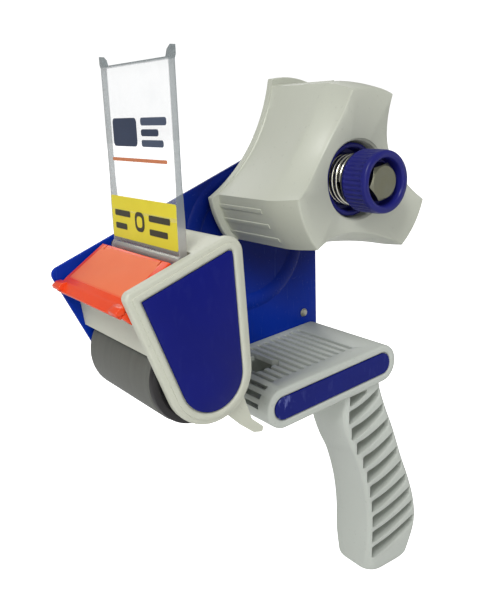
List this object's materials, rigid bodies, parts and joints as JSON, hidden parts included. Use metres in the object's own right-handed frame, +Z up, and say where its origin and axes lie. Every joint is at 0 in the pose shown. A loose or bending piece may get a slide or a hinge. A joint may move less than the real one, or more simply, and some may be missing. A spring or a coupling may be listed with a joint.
{
  "type": "tape gun dispenser",
  "caption": "Hand-held packing tape dispenser: pistol grip, slotted deck, steel side plate, braked three-lobed core hub, roller head with spring guard and clear flap.",
  "frame": {"origin": "middle of the pistol grip, where the hand holds it", "axes": "+Z up along the grip towards the tape hub, -X to the front where the roller and blade are, +Y away from the open side towards the side plate"},
  "size_m": [0.1521, 0.0763, 0.2359],
  "materials": {
    "plate_paint": "gloss blue paint",
    "housing_grey": "satin",
    "handle_grey": "satin",
    "hub_grey": "satin",
    "navy_panel": "satin",
    "guard_orange": "gloss",
    "clear_flap": "clear",
    "roller_rubber": "matt",
    "roller_black": "matt",
    "brake_blue": "satin",
    "bush_plastic": "matt",
    "zinc": "zinc plated",
    "blade_steel": "ground",
    "spring_steel": "bright"
  },
  "bodies": {
    "frame": {"side_plate": "plate_paint", "plate_rivet": "zinc", "front_housing": "housing_grey", "cheek_panel": "navy_panel", "blade": "blade_steel", "blade_screw_1": "zinc", "blade_screw_2": "zinc", "guard_pin": "zinc", "flap_pin": "zinc", "roller_axle": "zinc", "axle_nut": "zinc", "hub_washer": "zinc", "hub_bush": "bush_plastic", "brake_cup": "brake_blue", "brake_spring": "spring_steel", "spindle_nut": "zinc", "handle": "handle_grey", "deck_panel": "navy_panel", "handle_screw_1": "zinc", "handle_screw_2": "zinc", "housing_screw_1": "zinc", "housing_screw_2": "zinc"},
    "tape_hub": {"hub": "hub_grey"},
    "roller": {"roller_sleeve": "roller_rubber", "roller_core": "roller_black"},
    "guard": {"blade_guard": "guard_orange", "guard_spring": "spring_steel"},
    "tape_flap": {"flap": "clear_flap"},
    "brake_slider": {"brake_washer": "zinc"},
    "brake_screw": {"brake_knob": "brake_blue", "spindle_bolt": "zinc"}
  },
  "joints": [
    {"name": "hub_spin", "type": "hinge", "parent": "frame", "child": "tape_hub", "pos_m": [-0.0195, 0.0358, 0.138], "axis": [0, 1, 0], "continuous": true},
    {"name": "roller_spin", "type": "hinge", "parent": "frame", "child": "roller", "pos_m": [-0.0989, 0.0358, 0.0774], "axis": [0, 1, 0], "continuous": true},
    {"name": "guard_pivot", "type": "hinge", "parent": "frame", "child": "guard", "pos_m": [-0.1057, 0.0358, 0.11466], "axis": [0, 1, 0], "range_deg": [0, 14], "stiffness_Nm_per_rad": 0.01, "springref_deg": -20.05},
    {"name": "flap_hinge", "type": "hinge", "parent": "frame", "child": "tape_flap", "pos_m": [-0.1011, 0.0358, 0.1174], "axis": [0, -1, 0], "range_deg": [0, 50]},
    {"name": "knob_travel", "type": "slide", "parent": "frame", "child": "brake_slider", "axis": [0, 1, 0], "range_m": [-0.00125, 0.0025], "deforming": ["brake_spring"]},
    {"name": "knob_turn", "type": "hinge", "parent": "brake_slider", "child": "brake_screw", "pos_m": [-0.0195, 0.0358, 0.138], "axis": [0, 1, 0], "range_deg": [-360, 720]}
  ],
  "couplings": [
    {"joint": "knob_turn", "follows": "knob_travel", "rad_per_m": 5026.5}
  ]
}
